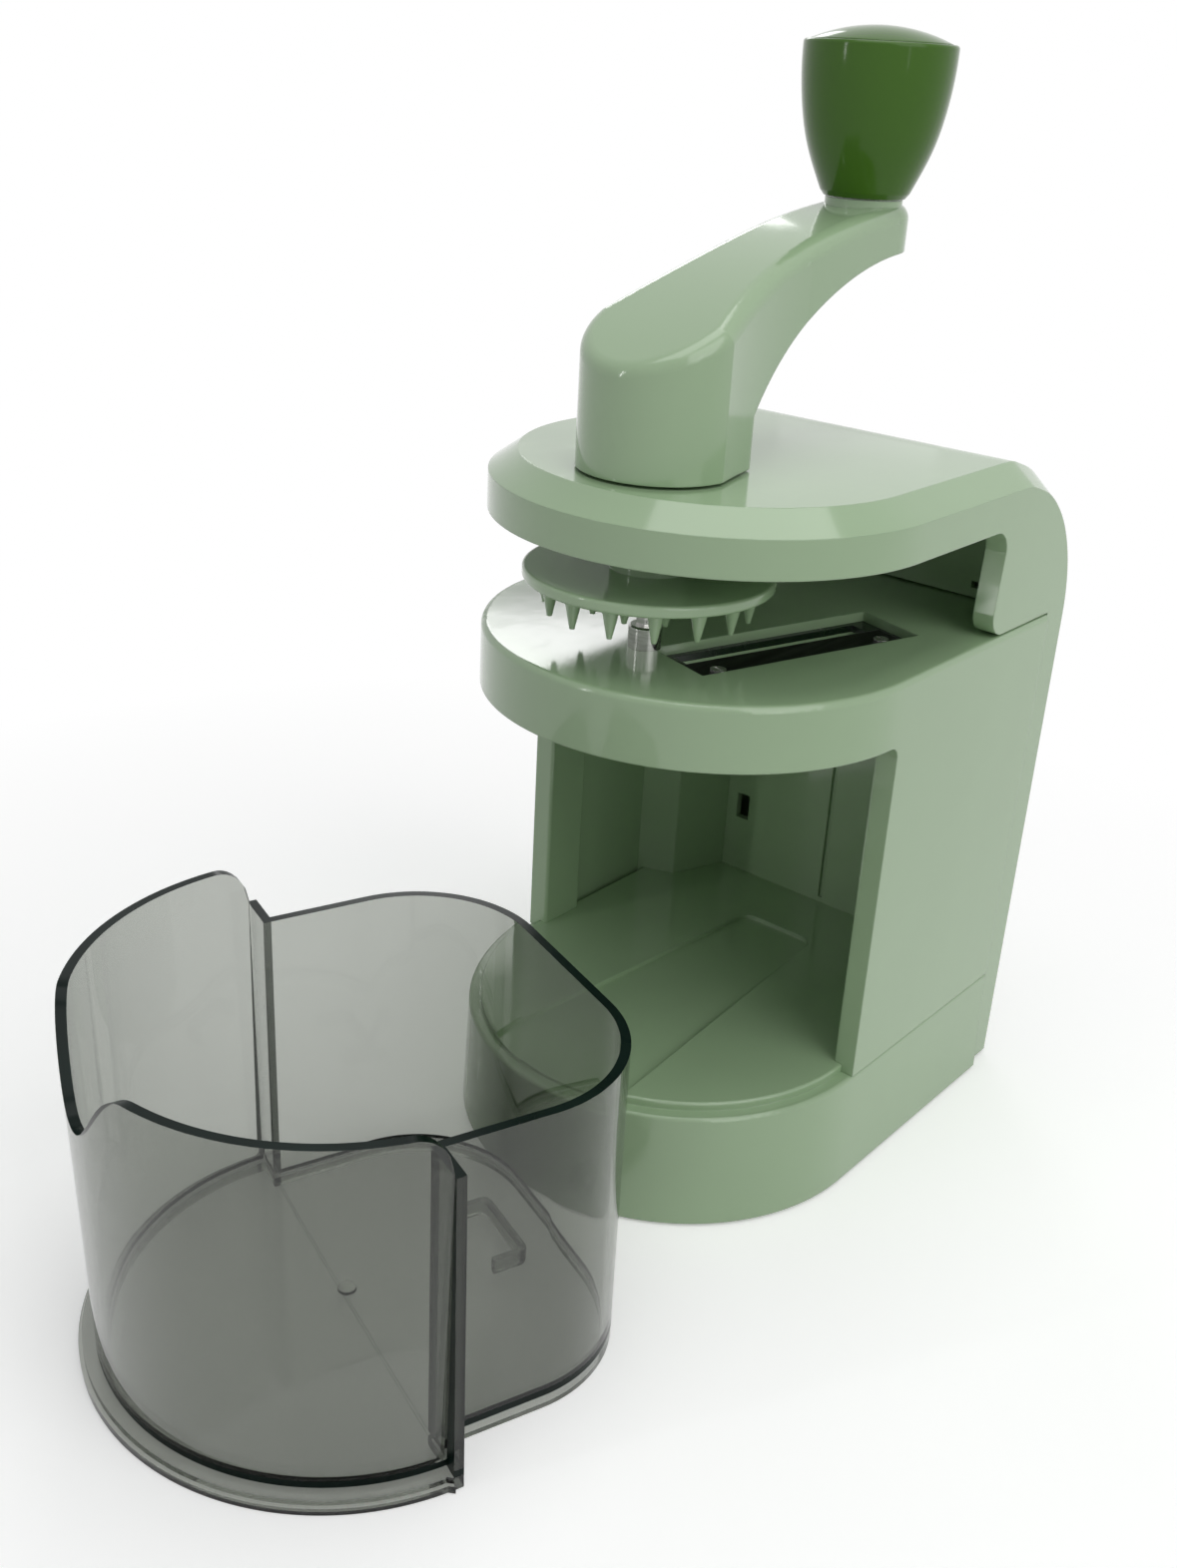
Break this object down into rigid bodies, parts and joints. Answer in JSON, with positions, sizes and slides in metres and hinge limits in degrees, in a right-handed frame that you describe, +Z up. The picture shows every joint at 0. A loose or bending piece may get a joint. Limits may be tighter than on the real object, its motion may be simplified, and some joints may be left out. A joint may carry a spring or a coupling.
{
  "type": "vertical spiral vegetable slicer",
  "caption": "Hand-cranked vertical spiral slicer: half-round deck with slot blade, lifting L-shaped arm, crank, spiked pressing disc, and a loose smoke-grey catch container.",
  "frame": {"origin": "on the table, in the middle of the footprint that the machine and its container take up together", "axes": "+Z up, front of the machine towards -Y, the machine's right-hand side +X"},
  "size_m": [0.1383, 0.3106, 0.3214],
  "materials": {
    "sage_gloss": "gloss",
    "knob_green": "gloss",
    "smoke_clear": "clear smoke-grey plastic",
    "pad_rubber": "matte",
    "guide_plastic": "satin",
    "bush_plastic": "satin",
    "blade_holder": "satin",
    "blade_steel": "polished",
    "screw_steel": "zinc plated"
  },
  "bodies": {
    "stand": {"base_shell": "sage_gloss", "bottom_plate": "sage_gloss", "foot_pads": "pad_rubber", "base_screws": "screw_steel", "body_shell": "sage_gloss", "bay_back_panel": "sage_gloss", "slide_rails": "guide_plastic", "rail_screws": "screw_steel", "blade_frame": "blade_holder", "slicing_blade": "blade_steel", "blade_screws": "screw_steel", "coring_pin": "blade_steel", "pin_collar": "blade_steel", "pin_nut": "screw_steel"},
    "lifting_arm": {"arm_shell": "sage_gloss", "arm_underplate": "sage_gloss", "underplate_screws": "screw_steel", "column_front_plate": "sage_gloss", "slide_shoes": "guide_plastic", "upper_bush": "bush_plastic", "lower_bush": "bush_plastic"},
    "crank_and_disc": {"crank_arm": "sage_gloss", "drive_shaft": "blade_steel", "press_disc": "sage_gloss", "disc_spikes": "sage_gloss", "disc_screw": "screw_steel", "knob_pin": "blade_steel"},
    "knob": {"knob_body": "knob_green", "knob_cap": "knob_green"},
    "catch_container": {"container_front": "smoke_clear", "container_rear": "smoke_clear"}
  },
  "joints": [
    {"name": "arm_lift", "type": "slide", "parent": "stand", "child": "lifting_arm", "axis": [0, 0, 1], "range_m": [0, 0.092]},
    {"name": "crank_turn", "type": "hinge", "parent": "lifting_arm", "child": "crank_and_disc", "pos_m": [0.00285, 0.0227, 0.2125], "axis": [0, 0, 1], "continuous": true},
    {"name": "knob_spin", "type": "hinge", "parent": "crank_and_disc", "child": "knob", "pos_m": [0.00285, 0.1109, 0.2772], "axis": [0, 0, 1], "continuous": true},
    {"name": "container_pull", "type": "slide", "parent": "stand", "child": "catch_container", "axis": [-0.3355, -0.9421, 0], "range_m": [0, 0.12]}
  ]
}
